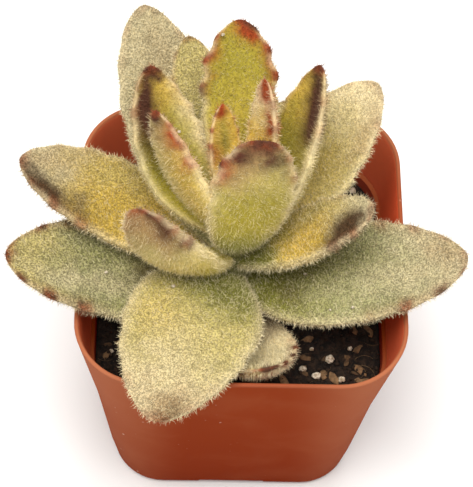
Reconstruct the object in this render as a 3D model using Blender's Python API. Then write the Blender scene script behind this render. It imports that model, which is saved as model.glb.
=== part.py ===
"""A panda plant: a rosette of thick felted leaves on a short stem, in a small square plastic pot.

Metres, +Z up. The origin is on the pot's underside, at the middle of its base.
The camera side of the plant is -Y.
"""

import math
from dataclasses import dataclass

import bmesh
import bpy
from mathutils import Matrix, Vector

MM = 0.001

# The pot: a square, round-cornered cup that tapers to its base. (height, outer width, corner radius)
WALL = 0.8 * MM
POT_HEIGHT = 54.0 * MM
RIM_WIDTH = 57.0 * MM
RIM_CORNER = 12.0 * MM
WAIST_HEIGHT = 30.0 * MM
WAIST_WIDTH = 51.3 * MM
WAIST_CORNER = 11.5 * MM
BASE_WIDTH = 45.2 * MM
BASE_CORNER = 9.5 * MM
BASE_EDGE_ROUND = 2.0 * MM
FLOOR_THICK = 1.0 * MM
LEDGE_HEIGHT = 40.8 * MM
LEDGE_STEP = 0.6 * MM
CORNER_STEPS = 7

# Four drain channels come in from the middle of each side under a raised bit of floor.
CHANNEL_WIDTH = 12.0 * MM
CHANNEL_HEIGHT = 1.8 * MM
CHANNEL_REACH = 9.0 * MM
CHANNEL_FLARE = 2.4 * MM
DRAIN_RADIUS = 2.2 * MM

# The potting mix fills the pot to well under its rim.
FIT_GAP = 0.3 * MM
SOIL_LEVEL = 38.5 * MM
SOIL_RINGS = 9
SOIL_SIDES = 40
CRUMB_HEIGHT = 0.9 * MM
HOLE_BOTTOM = 16.0 * MM

# The stem stands a little off the pot's middle.
STEM_X = -1.5 * MM
STEM_Y = -2.0 * MM
STEM_FOOT = 16.5 * MM
STEM_TOP = 70.0 * MM
STEM_RADIUS = 3.0 * MM
STEM_TIP_RADIUS = 1.2 * MM
STEM_SIDES = 16

@dataclass
class Leaf:
    """One leaf. Lengths are millimetres and angles are degrees; azimuth 0 is +X and -90 is the camera side."""

    height: float
    azimuth: float
    rise: float
    tip: tuple
    width: float
    thick: float = 3.2
    reach: float = 0.45
    cup: float = 0.08
    roll: float = 0.0
    widest: float = 0.58
    point: float = 0.60
    teeth: float = 0.10
    base: float = 4.0


# The lowest leaf is first and the heart of the rosette is last.
LEAVES = {
    "leaf_01_front_low": Leaf(42.2, -76, 2, (4.2, -25.8, 55.5), 14.0, 3.0, reach=0.74, cup=0.14, teeth=0.06),
    "leaf_02_front": Leaf(
        46.6, -119, 48, (-14.4, -36.0, 55.6), 23.0, 3.6, reach=0.5, cup=0.0, widest=0.52, teeth=0.04
    ),
    "leaf_03_left_low": Leaf(
        43.2, 203, 35, (-40.3, -6.8, 59.5), 20.0, 3.4, reach=0.5, cup=0.06, roll=-8, widest=0.5, teeth=0.04
    ),
    "leaf_04_right_low": Leaf(
        43.5, -27, 35, (38.5, -5.6, 59.5), 20.5, 3.4, reach=0.5, cup=0.06, roll=8, widest=0.5, teeth=0.04
    ),
    "leaf_05_back_low": Leaf(45.4, 104, 33, (-10.0, 31.0, 59.0), 14.0, 3.4),
    "leaf_06_back_right_low": Leaf(42.2, 72, 22, (8.5, 28.0, 56.5), 13.0, 3.2),
    "leaf_07_left_back": Leaf(49.6, 164, 27, (-38.3, 7.8, 66.5), 16.0, 3.4, cup=0.05, teeth=0.06),
    "leaf_08_back_left": Leaf(52.1, 133, 36, (-17.8, 31.5, 79.0), 18.0, 3.2, teeth=0.06, base=3.4),
    "leaf_09_back_right": Leaf(48.2, 42, 38, (22.7, 20.5, 73.0), 16.0, 3.4, teeth=0.06),
    "leaf_10_right": Leaf(51.6, -17, 40, (21.5, -2.4, 69.5), 12.5, 3.4, cup=0.06, widest=0.62, point=0.52),
    "leaf_11_front_left": Leaf(
        53.8, -136, 16, (-18.0, -9.0, 78.0), 11.0, 3.4, roll=42, cup=0.10, point=0.48, reach=0.5, base=2.8
    ),
    "leaf_12_back": Leaf(54.8, 111, 41, (-10.1, 26.2, 77.5), 12.0, 2.6, base=2.8),
    "leaf_13_back_tall": Leaf(62.0, 88, 48, (-1.7, 22.0, 88.0), 12.5, 3.0, widest=0.7, teeth=0.13, base=2.8),
    "leaf_14_left_tall": Leaf(59.8, 159, 32, (-16.4, 16.5, 82.0), 14.0, 3.0, reach=0.52, cup=0.12, roll=-14),
    "leaf_15_right_tall": Leaf(56.6, 17, 48, (11.8, 16.0, 84.0), 13.0, 3.0, cup=0.14),
    "leaf_16_centre_front": Leaf(
        56.5, -82, 50, (2.4, 0.4, 84.5), 14.2, 3.0, cup=0.06, widest=0.72, point=0.42, teeth=0.10
    ),
    "leaf_17_centre_left": Leaf(62.0, -152, 46, (-15.3, 5.5, 85.0), 9.5, 2.8, roll=25, cup=0.08, base=2.8),
    "leaf_18_centre_right": Leaf(64.9, 30, 55, (2.4, 10.0, 88.0), 7.5, 2.4, cup=0.10, point=0.5, base=3.0),
    "leaf_19_centre_back": Leaf(67.8, 134, 57, (-4.3, 7.7, 84.0), 6.5, 2.2, cup=0.12, base=2.8),
    "leaf_20_heart": Leaf(69.0, -10, 62, (1.4, 1.6, 79.0), 4.2, 1.8, cup=0.10, base=2.2),
}
# Leaves that press on a neighbour are shaped to it: the first of each pair gives way to the second.
PRESSED = [
    ("leaf_07_left_back", "leaf_02_front"),
    ("leaf_09_back_right", "leaf_10_right"),
    ("leaf_12_back", "leaf_14_left_tall"),
    ("leaf_14_left_tall", "leaf_13_back_tall"),
    ("leaf_15_right_tall", "leaf_16_centre_front"),
    ("leaf_17_centre_left", "leaf_16_centre_front"),
]
BODY_STATIONS = 9
TOOTH_STATIONS = 8
TOOTHED_FROM = 0.55
LEAF_SIDES = 12


def clear_scene():
    for obj in list(bpy.data.objects):
        bpy.data.objects.remove(obj)


def material(name, colour, roughness):
    made = bpy.data.materials.new(name)
    made.use_nodes = True
    shader = made.node_tree.nodes["Principled BSDF"]
    shader.inputs["Base Color"].default_value = (*colour, 1.0)
    shader.inputs["Roughness"].default_value = roughness
    shader.inputs["Metallic"].default_value = 0.0
    return made


def add_object(name, mesh, finish=None):
    obj = bpy.data.objects.new(name, mesh)
    bpy.context.scene.collection.objects.link(obj)
    if finish:
        mesh.materials.append(finish)
        mesh.shade_smooth()
        mesh.set_sharp_from_angle(angle=math.radians(40))
    return obj


def loft(name, rings, start=None, end=None):
    """A closed mesh through rings of equal length, capped by a point or by a flat face."""
    bm = bmesh.new()
    loops = [[bm.verts.new(p) for p in ring] for ring in rings]
    count = len(loops[0])
    for low, high in zip(loops, loops[1:]):
        for i in range(count):
            j = (i + 1) % count
            bm.faces.new((low[i], low[j], high[j], high[i]))
    for loop, cap in ((loops[0], start), (loops[-1], end)):
        if cap is None:
            bm.faces.new(loop)
            continue
        point = bm.verts.new(cap)
        for i in range(count):
            bm.faces.new((loop[i], loop[(i + 1) % count], point))
    bmesh.ops.recalc_face_normals(bm, faces=bm.faces)
    mesh = bpy.data.meshes.new(name)
    bm.to_mesh(mesh)
    bm.free()
    return mesh


def rounded_square(width, corner, height, steps=CORNER_STEPS):
    """A ring of points round a square with round corners, centred on the pot's axis."""
    half = width / 2 - corner
    ring = []
    for turn, (sx, sy) in enumerate(((1, 1), (-1, 1), (-1, -1), (1, -1))):
        for k in range(steps):
            angle = math.radians(90 * (turn + k / (steps - 1)))
            x = sx * half + corner * math.cos(angle)
            y = sy * half + corner * math.sin(angle)
            ring.append(Vector((x, y, height)))
    return ring


def pot_size(height):
    """The pot's outer width and corner radius at a height."""
    if height >= WAIST_HEIGHT:
        share = (height - WAIST_HEIGHT) / (POT_HEIGHT - WAIST_HEIGHT)
        width = WAIST_WIDTH + share * (RIM_WIDTH - WAIST_WIDTH)
        return width, WAIST_CORNER + share * (RIM_CORNER - WAIST_CORNER)
    share = height / WAIST_HEIGHT
    width = BASE_WIDTH + share * (WAIST_WIDTH - BASE_WIDTH)
    return width, BASE_CORNER + share * (WAIST_CORNER - BASE_CORNER)


def pot_inside(height, gap=0.0):
    """The inner width and corner radius at a height, less a gap all round."""
    width, corner = pot_size(height)
    inset = WALL + gap
    if height < LEDGE_HEIGHT:
        inset += LEDGE_STEP * max(0.0, (height - WAIST_HEIGHT) / (LEDGE_HEIGHT - WAIST_HEIGHT))
    return width - 2 * inset, corner - inset


def channel_frame(turn):
    """The matrix that carries the +X side's drain channel to another side."""
    return Matrix.Rotation(math.radians(90 * turn), 4, "Z")


def channel_block(name, grow, height, low, outer_reach):
    """A block under the floor along a drain channel, with sloping sides."""
    inner = BASE_WIDTH / 2 - CHANNEL_REACH - grow
    outer = BASE_WIDTH / 2 + outer_reach
    bottom = CHANNEL_WIDTH / 2 + grow + CHANNEL_FLARE
    top = CHANNEL_WIDTH / 2 + grow
    rings = [
        [Vector((x, y, z)) for x, y in ((inner, -half), (outer, -half), (outer, half), (inner, half))]
        for z, half in ((low, bottom), (height, top))
    ]
    return loft(name, rings)


def helper(name, mesh, turn=0):
    obj = add_object(name, mesh)
    obj.matrix_world = channel_frame(turn)
    obj.hide_render = True
    obj.display_type = "WIRE"
    return obj


def boolean(obj, other, operation):
    modifier = obj.modifiers.new(operation.title(), "BOOLEAN")
    modifier.operation = operation
    modifier.object = other
    modifier.solver = "EXACT"


def make_pot(finish):
    heights = (BASE_EDGE_ROUND, WAIST_HEIGHT, POT_HEIGHT)
    rings = []
    for share in (0.0, 0.35, 0.7):
        drop = BASE_EDGE_ROUND * (1 - share)
        shrink = BASE_EDGE_ROUND * (1 - math.sqrt(1 - (1 - share) ** 2)) * 0.8
        width, corner = pot_size(0.0)
        rings.append(rounded_square(width - 2 * shrink, corner - shrink, BASE_EDGE_ROUND - drop))
    for height in heights:
        rings.append(rounded_square(*pot_size(height), height))
    inner_heights = (POT_HEIGHT, LEDGE_HEIGHT + 0.01 * MM, LEDGE_HEIGHT - 0.5 * MM, WAIST_HEIGHT, BASE_EDGE_ROUND)
    for height in inner_heights:
        rings.append(rounded_square(*pot_inside(height), height))
    width, corner = pot_inside(0.0)
    rings.append(rounded_square(width - BASE_EDGE_ROUND, corner - BASE_EDGE_ROUND / 2, FLOOR_THICK))
    pot = add_object("pot", loft("pot", rings, Vector((0, 0, 0)), Vector((0, 0, FLOOR_THICK))), finish)
    for turn in range(4):
        top = CHANNEL_HEIGHT + FLOOR_THICK
        raised = channel_block("raised_floor", FLOOR_THICK, top, 0.85 * FLOOR_THICK, -0.3 * MM)
        boolean(pot, helper(f"raised_floor_{turn}", raised, turn), "UNION")
    for turn in range(4):
        channel = channel_block("channel", 0.0, CHANNEL_HEIGHT, -2 * MM, 4 * MM)
        boolean(pot, helper(f"channel_{turn}", channel, turn), "DIFFERENCE")
        drain = loft("drain", drain_rings())
        boolean(pot, helper(f"drain_{turn}", drain, turn), "DIFFERENCE")
    return pot


def drain_rings():
    """A drain hole up through the raised floor at the inner end of a channel."""
    middle = BASE_WIDTH / 2 - CHANNEL_REACH + DRAIN_RADIUS + 0.8 * MM
    return [
        [
            Vector((middle + DRAIN_RADIUS * math.cos(a), DRAIN_RADIUS * math.sin(a), z))
            for a in (math.tau * k / 12 for k in range(12))
        ]
        for z in (0.5 * MM, CHANNEL_HEIGHT + 3 * FLOOR_THICK)
    ]


def crumb(x, y):
    """The lumpy height of the potting mix at a place, from a few crossed waves."""
    x, y = x / MM, y / MM
    coarse = math.sin(0.55 * x + 1.3) * math.cos(0.48 * y + 0.4)
    middle = math.sin(1.27 * x + 0.91 * y) * math.cos(1.12 * y - 0.63 * x)
    fine = math.sin(2.3 * x + 0.7) * math.sin(2.1 * y + 1.9)
    return CRUMB_HEIGHT * (0.45 * coarse + 0.35 * middle + 0.2 * fine)


def square_ring(width, corner, height, count):
    """Points at even angles round a square with round corners."""
    straight = width / 2 - corner
    ring = []
    for k in range(count):
        angle = math.tau * k / count
        c, t = math.cos(angle), math.sin(angle)
        reach = width / 2 / max(abs(c), abs(t))
        if min(abs(c), abs(t)) * reach > straight:
            middle = straight * (abs(c) + abs(t))
            reach = middle + math.sqrt(middle**2 - 2 * straight**2 + corner**2)
        ring.append(Vector((reach * c, reach * t, height)))
    return ring


def make_soil(finish):
    rings = []
    for height in (FLOOR_THICK + FIT_GAP, BASE_EDGE_ROUND + FIT_GAP, WAIST_HEIGHT, SOIL_LEVEL - 1.5 * MM):
        width, corner = pot_inside(height, FIT_GAP)
        if height == FLOOR_THICK + FIT_GAP:
            width, corner = width - BASE_EDGE_ROUND, corner - BASE_EDGE_ROUND / 2
        rings.append(square_ring(width, corner, height, SOIL_SIDES))
    hole = ring_round_stem(SOIL_LEVEL, STEM_RADIUS + FIT_GAP, SOIL_SIDES)
    edge = rings[-1]
    for k in range(SOIL_RINGS):
        share = k / (SOIL_RINGS - 1)
        ring = []
        for p, q in zip(edge, hole):
            at = Vector((p.x, p.y, SOIL_LEVEL)).lerp(q, share)
            at.z += crumb(at.x, at.y) if 0 < share < 1 else 0.0
            ring.append(at)
        rings.append(ring)
    rings.append([Vector((p.x, p.y, HOLE_BOTTOM)) for p in hole])
    soil = add_object("soil", loft("soil", rings), finish)
    for turn in range(4):
        top = CHANNEL_HEIGHT + FLOOR_THICK + FIT_GAP
        room = channel_block("room", FLOOR_THICK + 2 * FIT_GAP, top, 0.0, 3 * MM)
        boolean(soil, helper(f"soil_room_{turn}", room, turn), "DIFFERENCE")
    return soil


def ring_round_stem(height, radius, count):
    return [
        Vector((STEM_X + radius * math.cos(a), STEM_Y + radius * math.sin(a), height))
        for a in (math.tau * k / count for k in range(count))
    ]


def stem_radius(height):
    """The stem is even up to its lower leaves and tapers above them."""
    share = min(1.0, max(0.0, (height - 52 * MM) / (STEM_TOP - 52 * MM)))
    return STEM_RADIUS + share * (STEM_TIP_RADIUS - STEM_RADIUS)


def stem_mesh(name, grow):
    heights = (STEM_FOOT, 30 * MM, 42 * MM, 52 * MM, 61 * MM, STEM_TOP + grow)
    return loft(name, [ring_round_stem(z, stem_radius(z) + grow, STEM_SIDES) for z in heights])


def make_stem(finish):
    return add_object("stem", stem_mesh("stem", 0.0), finish)


def stations(body, toothed):
    """Places along a leaf from its base: even ones, then a pair to each tooth, closing up to the tip."""
    even = [TOOTHED_FROM * k / body for k in range(body + 1)]
    rest = [1 - (1 - k / toothed) ** 1.35 for k in range(1, toothed)]
    return even + [TOOTHED_FROM + (1 - TOOTHED_FROM) * r for r in rest]


def tooth_wave(s, side):
    """Swings between -1 and 1 once for each tooth of a leaf's end; the two margins are out of step."""
    if s <= TOOTHED_FROM:
        return 0.0
    u = (s - TOOTHED_FROM) / (1 - TOOTHED_FROM)
    step = TOOTH_STATIONS * (1 - (1 - u) ** (1 / 1.35))
    return side * math.cos(math.pi * step) * min(1.0, 6 * u) * (1 - u) ** 0.35


def half_width(leaf, s, side):
    """A leaf's half width at s along it, in millimetres: narrow base, blunt point, toothed end."""
    base = leaf.base / leaf.width
    if s < leaf.widest:
        shape = base + (1 - base) * math.sin(s / leaf.widest * math.pi / 2) ** 1.2
    else:
        u = (s - leaf.widest) / (1 - leaf.widest)
        shape = (1 - u**2.1) ** leaf.point
    return leaf.width / 2 * shape * (1 + leaf.teeth * tooth_wave(s, side))


def leaf_frame(leaf, s):
    """The place of a leaf's middle at s, with the directions along it, across it and out of its upper face."""
    root = Vector((STEM_X / MM, STEM_Y / MM, leaf.height))
    tip = Vector(leaf.tip)
    turn, rise = math.radians(leaf.azimuth), math.radians(leaf.rise)
    out = Vector((math.cos(turn) * math.cos(rise), math.sin(turn) * math.cos(rise), math.sin(rise)))
    bend = root + out * (tip - root).length * leaf.reach
    place = root.lerp(bend, s).lerp(bend.lerp(tip, s), s)
    along = (bend - root).lerp(tip - bend, s).normalized()
    across = Vector((-math.sin(turn), math.cos(turn), 0))
    side = (across - along * across.dot(along)).normalized()
    spin = Matrix.Rotation(math.radians(leaf.roll) * min(1.0, 2.5 * s), 3, along)
    side = spin @ side
    return place, along, side, along.cross(side)


def leaf_ring(leaf, s, sides, grow=0.0):
    place, _, side, up = leaf_frame(leaf, s)
    plump = (0.78 + 0.22 * math.sin(math.pi * s)) * math.sqrt(max(0.0, 1 - s**4))
    ring = []
    for j in range(sides):
        angle = math.tau * j / sides
        x = math.cos(angle)
        half = half_width(leaf, s, 1 if x > 0 else -1) + grow
        belly = 0.40 if math.sin(angle) > 0 else 0.60
        swell = leaf.thick * plump * belly + grow
        rise = swell * math.copysign(abs(math.sin(angle)) ** 0.8, math.sin(angle))
        rise += leaf.cup * leaf.width * (half * x / (leaf.width / 2)) ** 2
        ring.append((place + side * x * half + up * rise) * MM)
    return ring


def leaf_mesh(name, leaf, grow=0.0):
    rings = [leaf_ring(leaf, s, LEAF_SIDES, grow) for s in stations(BODY_STATIONS, TOOTH_STATIONS)]
    along = leaf_frame(leaf, 1.0)[1]
    return loft(name, rings, None, (Vector(leaf.tip) + along * grow) * MM)


def make_leaves(finish):
    seat = helper("stem_clearance", stem_mesh("stem_clearance", FIT_GAP))
    for name, leaf in LEAVES.items():
        blade = add_object(name, leaf_mesh(name, leaf), finish)
        boolean(blade, seat, "DIFFERENCE")
    rooms = {}
    for name, other in PRESSED:
        if other not in rooms:
            rooms[other] = helper(f"{other}_room", leaf_mesh("room", LEAVES[other], FIT_GAP / MM))
        boolean(bpy.data.objects[name], rooms[other], "DIFFERENCE")


def build():
    clear_scene()
    make_pot(material("terracotta plastic", (0.52, 0.13, 0.05), 0.35))
    make_soil(material("potting mix", (0.045, 0.028, 0.018), 0.95))
    make_stem(material("stem bark", (0.30, 0.28, 0.14), 0.8))
    make_leaves(material("felted leaf", (0.42, 0.42, 0.22), 0.9))


build()
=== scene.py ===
# %% [markdown]
# # A panda plant in its small plastic pot
#
# The real thing is a young succulent: about twenty thick leaves in a rosette, each one
# covered in short pale felt, with brown teeth near the tip. It stands in a thin square
# nursery pot, 54 mm high. We build the looks round a CAD model that is already the right
# size, so the first step is to load that model as a fixed frame.

import math
import random
from dataclasses import dataclass

import bmesh
import bpy
from mathutils import Matrix, Vector, noise


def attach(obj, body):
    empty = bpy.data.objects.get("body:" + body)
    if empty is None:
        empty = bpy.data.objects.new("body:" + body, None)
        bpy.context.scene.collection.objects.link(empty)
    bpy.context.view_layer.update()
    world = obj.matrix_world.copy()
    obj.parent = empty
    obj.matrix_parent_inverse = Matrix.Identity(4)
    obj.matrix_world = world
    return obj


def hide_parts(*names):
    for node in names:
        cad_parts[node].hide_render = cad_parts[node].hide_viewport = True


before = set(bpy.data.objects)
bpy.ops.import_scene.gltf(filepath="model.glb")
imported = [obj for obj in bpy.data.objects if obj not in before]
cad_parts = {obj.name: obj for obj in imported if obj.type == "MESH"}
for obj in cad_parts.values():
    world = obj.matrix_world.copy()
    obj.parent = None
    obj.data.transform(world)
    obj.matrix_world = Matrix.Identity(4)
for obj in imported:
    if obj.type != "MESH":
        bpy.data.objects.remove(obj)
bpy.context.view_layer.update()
MM = 0.001

# %% [markdown]
# ## Looking at it from where the photographer stood
#
# The picture is taken from above and from close by, so the near leaves look larger than
# the far ones. A camera can be placed by hand, but here its place was worked out from the
# pot's corners: a third of a metre from the rosette, 59 degrees above the table, and
# tipped a little to one side. A shift moves the picture without turning the camera.

# %% The camera
PHOTO_WIDTH, PHOTO_HEIGHT = 473, 487
AIM = Vector((0.0, 0.0, 54 * MM))
DISTANCE = 330 * MM
CAMERA_TURN, CAMERA_HEIGHT_ANGLE, CAMERA_ROLL = map(math.radians, (-3.9, 59.0, 4.5))
FOCAL_PIXELS = 1892
PICTURE_CENTRE = (241.8, 239.7)


def place_camera():
    back = Vector((
        math.sin(CAMERA_TURN) * math.cos(CAMERA_HEIGHT_ANGLE),
        -math.cos(CAMERA_TURN) * math.cos(CAMERA_HEIGHT_ANGLE),
        math.sin(CAMERA_HEIGHT_ANGLE),
    ))
    level = Vector((math.cos(CAMERA_TURN), math.sin(CAMERA_TURN), 0))
    upward = back.cross(level)
    right = level * math.cos(CAMERA_ROLL) + upward * math.sin(CAMERA_ROLL)
    top = upward * math.cos(CAMERA_ROLL) - level * math.sin(CAMERA_ROLL)
    lens = bpy.data.cameras.new("photo_camera")
    lens.sensor_fit = "HORIZONTAL"
    lens.sensor_width = 36
    lens.lens = FOCAL_PIXELS * lens.sensor_width / PHOTO_WIDTH
    lens.shift_x = -(PICTURE_CENTRE[0] - PHOTO_WIDTH / 2) / PHOTO_WIDTH
    lens.shift_y = (PICTURE_CENTRE[1] - PHOTO_HEIGHT / 2) / PHOTO_WIDTH
    lens.clip_start = 0.01
    camera = bpy.data.objects.new("photo_camera", lens)
    turn = Matrix((right, top, back)).transposed().to_4x4()
    camera.matrix_world = Matrix.Translation(AIM + back * DISTANCE) @ turn
    bpy.context.scene.collection.objects.link(camera)
    bpy.context.scene.camera = camera
    return camera


print("camera at", [round(v, 3) for v in place_camera().location])

# %% [markdown]
# ## A plain studio
#
# The object was cut out on white, lit by a large soft window from the upper left. A pale
# floor and three area lamps do the same: a big key, a weak fill from the other side, and
# a lamp behind that lights up the felt along the leaves' outlines.

# %% Floor and lights
FLOOR_SIZE = 3.0
FLOOR_LEVEL = -0.2 * MM
WORLD_LIGHT = 0.30
# name, place, size in metres, power in watts, colour
LAMPS = [
    ("key", (-0.10, -0.14, 0.95), 0.7, 12.5, (1.0, 0.98, 0.94)),
    ("fill", (0.7, -0.4, 0.7), 0.5, 1.2, (1.0, 0.98, 0.96)),
    ("back", (0.25, 0.9, 0.6), 0.5, 2.4, (1.0, 1.0, 1.0)),
]


def add_object(name, mesh, finish=None):
    made = bpy.data.objects.new(name, mesh)
    bpy.context.scene.collection.objects.link(made)
    if finish:
        mesh.materials.append(finish)
    return made


def make_floor():
    mesh = bpy.data.meshes.new("floor")
    half = FLOOR_SIZE / 2
    corners = [(x * half, y * half, FLOOR_LEVEL) for x, y in ((-1, -1), (1, -1), (1, 1), (-1, 1))]
    mesh.from_pydata(corners, [], [(0, 1, 2, 3)])
    finish = bpy.data.materials.new("studio_floor")
    finish.use_nodes = True
    shader = finish.node_tree.nodes["Principled BSDF"]
    shader.inputs["Base Color"].default_value = (0.92, 0.92, 0.92, 1)
    shader.inputs["Roughness"].default_value = 0.9
    floor = add_object("floor", mesh, finish)


def make_lamp(name, place, size, power, colour):
    data = bpy.data.lights.new(name, "AREA")
    data.size = size
    data.energy = power
    data.color = colour
    lamp = bpy.data.objects.new(name, data)
    lamp.location = place
    lamp.rotation_euler = (AIM - Vector(place)).to_track_quat("-Z", "Y").to_euler()
    bpy.context.scene.collection.objects.link(lamp)


make_floor()
for lamp in LAMPS:
    make_lamp(*lamp)
world = bpy.data.worlds.new("studio")
world.use_nodes = True
background = world.node_tree.nodes["Background"]
background.inputs["Color"].default_value = (1, 1, 1, 1)
background.inputs["Strength"].default_value = WORLD_LIGHT
bpy.context.scene.world = world
bpy.context.scene.view_settings.view_transform = "Standard"

# %% [markdown]
# ## Two helpers for closed shapes
#
# Nearly every piece here is a loft: a row of rings with the same number of points, joined
# by faces and closed at both ends. We write that once.

# %% Loft


def between(low, high, share):
    return low + share * (high - low)


def mesh_from(bm, name):
    mesh = bpy.data.meshes.new(name)
    bm.to_mesh(mesh)
    bm.free()
    return mesh


def join_rings(bm, rings):
    """Faces between each ring of points and the next; returns the rings as vertices."""
    loops = [[bm.verts.new(p) for p in ring] for ring in rings]
    for low, high in zip(loops, loops[1:]):
        for i in range(len(low)):
            j = (i + 1) % len(low)
            bm.faces.new((low[i], low[j], high[j], high[i]))
    return loops


def loft(name, rings, start=None, end=None):
    """A closed mesh through rings of equal length, capped by a point or by a flat face."""
    bm = bmesh.new()
    loops = join_rings(bm, rings)
    for loop, cap in ((loops[0], start), (loops[-1], end)):
        if cap is None:
            bm.faces.new(loop)
            continue
        point = bm.verts.new(cap)
        for i in range(len(loop)):
            bm.faces.new((loop[i], loop[(i + 1) % len(loop)], point))
    bmesh.ops.recalc_face_normals(bm, faces=bm.faces)
    return mesh_from(bm, name)


def circle(x, y, z, radius, count):
    turns = (math.tau * k / count for k in range(count))
    return [Vector((x + radius * math.cos(a), y + radius * math.sin(a), z)) for a in turns]


def finish_piece(piece, node):
    """Puts a piece on the root body, hides the CAD solid that it stands for, if any, and prints how many
    points and faces it has.
    """
    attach(piece, "root")
    if node:
        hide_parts(node)
    mesh = piece.data
    print(f"{piece.name}: {len(mesh.vertices)} points, {len(mesh.polygons)} faces")


# %% [markdown]
# ## The pot
#
# The pot is one thin moulding of terracotta-coloured plastic: square with round corners,
# tapering to its foot, with a slight waist, a small ledge inside, and four channels under
# the floor that let water out.

# %% The pot's sizes
WALL = 0.8 * MM
POT_HEIGHT = 54.0 * MM
RIM_WIDTH = 57.0 * MM
RIM_CORNER = 12.0 * MM
WAIST_HEIGHT = 30.0 * MM
WAIST_WIDTH = 51.3 * MM
WAIST_CORNER = 11.5 * MM
BASE_WIDTH = 45.2 * MM
BASE_CORNER = 9.5 * MM
BASE_EDGE_ROUND = 2.0 * MM
FLOOR_THICK = 1.0 * MM
LEDGE_HEIGHT = 40.8 * MM
LEDGE_STEP = 0.6 * MM
CHANNEL_WIDTH = 12.0 * MM
CHANNEL_HEIGHT = 1.8 * MM
CHANNEL_REACH = 9.0 * MM
CHANNEL_FLARE = 2.4 * MM
DRAIN_RADIUS = 2.2 * MM
CORNER_POINTS = 15
SIDE_POINTS = 8
EDGE_STEPS = 6
LIP_STEPS = 7
DRAIN_SIDES = 32
OUTER_HEIGHTS = [h * MM for h in (8, 16, 24, 30, 36, 42, 48, 53)]
UPPER_HEIGHTS = [h * MM for h in (53, 50, 46)]
LEDGE_HEIGHTS = [LEDGE_HEIGHT + h * MM for h in (0.3, 0.01, -0.5)]
LOWER_HEIGHTS = [h * MM for h in (36, 30, 20, 10)]


def rounded_square(width, corner, height):
    """A ring of points round a square with round corners, with points along the straight sides too."""
    half = width / 2 - corner
    ring = []
    for turn, (sx, sy) in enumerate(((1, 1), (-1, 1), (-1, -1), (1, -1))):
        for k in range(CORNER_POINTS):
            angle = math.radians(90 * (turn + k / (CORNER_POINTS - 1)))
            x, y = sx * half + corner * math.cos(angle), sy * half + corner * math.sin(angle)
            ring.append(Vector((x, y, height)))
        start = ring[-1]
        along = Matrix.Rotation(math.radians(90 * (turn + 1)), 3, "Z") @ Vector((0, 1, 0))
        for k in range(1, SIDE_POINTS):
            ring.append(start + along * (2 * half * k / SIDE_POINTS))
    return ring


def pot_size(height):
    """The pot's outer width and corner radius at a height."""
    if height >= WAIST_HEIGHT:
        share = (height - WAIST_HEIGHT) / (POT_HEIGHT - WAIST_HEIGHT)
        return between(WAIST_WIDTH, RIM_WIDTH, share), between(WAIST_CORNER, RIM_CORNER, share)
    share = height / WAIST_HEIGHT
    return between(BASE_WIDTH, WAIST_WIDTH, share), between(BASE_CORNER, WAIST_CORNER, share)


def pot_inside(height, gap=0.0):
    """The inner width and corner radius at a height, less a gap all round."""
    width, corner = pot_size(height)
    inset = WALL + gap
    if height < LEDGE_HEIGHT:
        inset += LEDGE_STEP * max(0.0, (height - WAIST_HEIGHT) / (LEDGE_HEIGHT - WAIST_HEIGHT))
    return width - 2 * inset, corner - inset


# %% Pot shell, channels and drain holes


def pot_shell():
    """The pot's wall and floor: round the foot, up the outside, over the lip and down the inside."""
    rings = []
    width, corner = pot_size(0.0)
    for step in range(EDGE_STEPS + 1):
        turn = math.radians(90 * step / EDGE_STEPS)
        shrink = BASE_EDGE_ROUND * (1 - math.sin(turn)) * 0.8
        height = BASE_EDGE_ROUND * (1 - math.cos(turn))
        rings.append(rounded_square(width - 2 * shrink, corner - shrink, height))
    rings += [rounded_square(*pot_size(height), height) for height in OUTER_HEIGHTS]
    lip = WALL / 2
    top_width, top_corner = pot_size(POT_HEIGHT)
    for step in range(1, LIP_STEPS):
        turn = math.radians(180 * step / LIP_STEPS)
        inset = lip * (1 - math.cos(turn))
        height = POT_HEIGHT - lip * (1 - math.sin(turn))
        rings.append(rounded_square(top_width - 2 * inset, top_corner - inset, height))
    for height in UPPER_HEIGHTS + LEDGE_HEIGHTS + LOWER_HEIGHTS + [BASE_EDGE_ROUND]:
        rings.append(rounded_square(*pot_inside(height), height))
    width, corner = pot_inside(0.0)
    rings.append(rounded_square(width - BASE_EDGE_ROUND, corner - BASE_EDGE_ROUND / 2, FLOOR_THICK))
    return loft("pot", rings, Vector((0, 0, 0)), Vector((0, 0, FLOOR_THICK)))


def channel_block(grow, height, low, outer_reach):
    """A block with the shape of one drain channel, made larger by grow, from low up to a height."""
    inner = BASE_WIDTH / 2 - CHANNEL_REACH - grow
    outer = BASE_WIDTH / 2 + outer_reach
    rings = [
        [Vector((x, y, z)) for x, y in ((inner, -half), (outer, -half), (outer, half), (inner, half))]
        for z, half in ((low, CHANNEL_WIDTH / 2 + grow + CHANNEL_FLARE), (height, CHANNEL_WIDTH / 2 + grow))
    ]
    return loft("channel_block", rings)


def drain_block():
    """A rod that makes a drain hole at the inner end of a channel."""
    middle = BASE_WIDTH / 2 - CHANNEL_REACH + DRAIN_RADIUS + 0.8 * MM
    heights = (0.5 * MM, CHANNEL_HEIGHT + 3 * FLOOR_THICK)
    return loft("drain_block", [circle(middle, 0.0, z, DRAIN_RADIUS, DRAIN_SIDES) for z in heights])


def apply_modifiers(piece):
    """Keeps what a piece's modifiers make as its plain mesh."""
    graph = bpy.context.evaluated_depsgraph_get()
    made = piece.evaluated_get(graph)
    mesh = bpy.data.meshes.new_from_object(made, preserve_all_data_layers=True, depsgraph=graph)
    piece.modifiers.clear()
    old = piece.data
    piece.data = mesh
    bpy.data.meshes.remove(old)
    mesh.name = piece.name


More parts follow.
